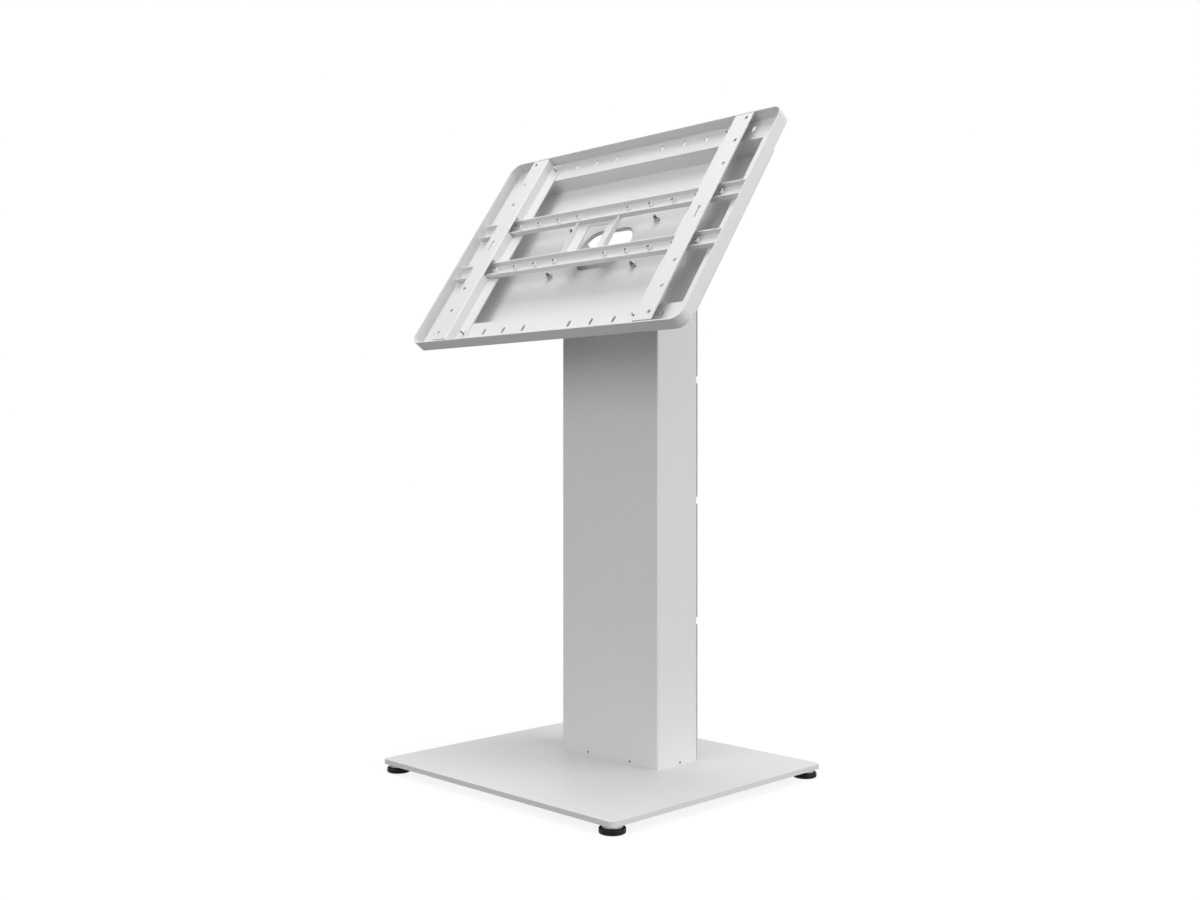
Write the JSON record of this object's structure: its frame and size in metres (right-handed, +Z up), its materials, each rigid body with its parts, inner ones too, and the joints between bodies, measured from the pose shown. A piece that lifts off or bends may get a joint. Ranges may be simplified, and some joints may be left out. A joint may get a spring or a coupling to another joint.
{
  "type": "screen kiosk stand",
  "caption": "Floor kiosk stand: square base plate with levelling feet, folded sheet column with hook-on rear cover, tilted tray with rails and upright adapters for a flat screen.",
  "frame": {"origin": "middle of the footprint, on the floor under the feet", "axes": "+X to the right of someone facing the screen, +Y to the back of the stand, +Z up"},
  "size_m": [0.638, 0.5, 1.091],
  "materials": {
    "powder_coat": "matt light grey powder coat",
    "zinc_steel": "bright zinc",
    "black_steel": "black oxide",
    "foot_rubber": "matt black"
  },
  "bodies": {
    "stand": {"base_plate": "powder_coat", "foot_bosses": "powder_coat", "column_shell": "powder_coat", "column_foot_plate": "powder_coat", "foot_screws": "black_steel", "base_bolts": "zinc_steel", "base_nuts": "zinc_steel", "head_bracket": "powder_coat", "bracket_screws": "zinc_steel", "tray_frame": "powder_coat", "back_box": "powder_coat", "head_bolts": "zinc_steel", "head_washers": "zinc_steel", "head_nuts": "zinc_steel", "rail_upper": "powder_coat", "rail_lower": "powder_coat", "rail_upper_nuts": "powder_coat", "rail_lower_nuts": "powder_coat", "rail_bridge": "powder_coat"},
    "foot_front_left": {"foot_pad_front_left": "foot_rubber", "foot_stud_front_left": "zinc_steel"},
    "foot_front_right": {"foot_pad_front_right": "foot_rubber", "foot_stud_front_right": "zinc_steel"},
    "foot_rear_left": {"foot_pad_rear_left": "foot_rubber", "foot_stud_rear_left": "zinc_steel"},
    "foot_rear_right": {"foot_pad_rear_right": "foot_rubber", "foot_stud_rear_right": "zinc_steel"},
    "rear_cover": {"column_rear_cover": "powder_coat"},
    "adapter_left": {"adapter_left": "powder_coat", "adapter_left_screws": "zinc_steel"},
    "adapter_right": {"adapter_right": "powder_coat", "adapter_right_screws": "zinc_steel"}
  },
  "joints": [
    {"name": "foot_front_left_level", "type": "slide", "parent": "stand", "child": "foot_front_left", "axis": [0, 0, -1], "range_m": [0, 0.005]},
    {"name": "foot_front_right_level", "type": "slide", "parent": "stand", "child": "foot_front_right", "axis": [0, 0, -1], "range_m": [0, 0.005]},
    {"name": "foot_rear_left_level", "type": "slide", "parent": "stand", "child": "foot_rear_left", "axis": [0, 0, -1], "range_m": [0, 0.005]},
    {"name": "foot_rear_right_level", "type": "slide", "parent": "stand", "child": "foot_rear_right", "axis": [0, 0, -1], "range_m": [0, 0.005]},
    {"name": "rear_cover_lift", "type": "slide", "parent": "stand", "child": "rear_cover", "axis": [0, 0, 1], "range_m": [0, 0.006]},
    {"name": "adapter_left_height", "type": "slide", "parent": "stand", "child": "adapter_left", "axis": [0, 0.5736, 0.8192], "range_m": [-0.0015, 0.0015]},
    {"name": "adapter_right_height", "type": "slide", "parent": "stand", "child": "adapter_right", "axis": [0, 0.5736, 0.8192], "range_m": [-0.0015, 0.0015]}
  ]
}
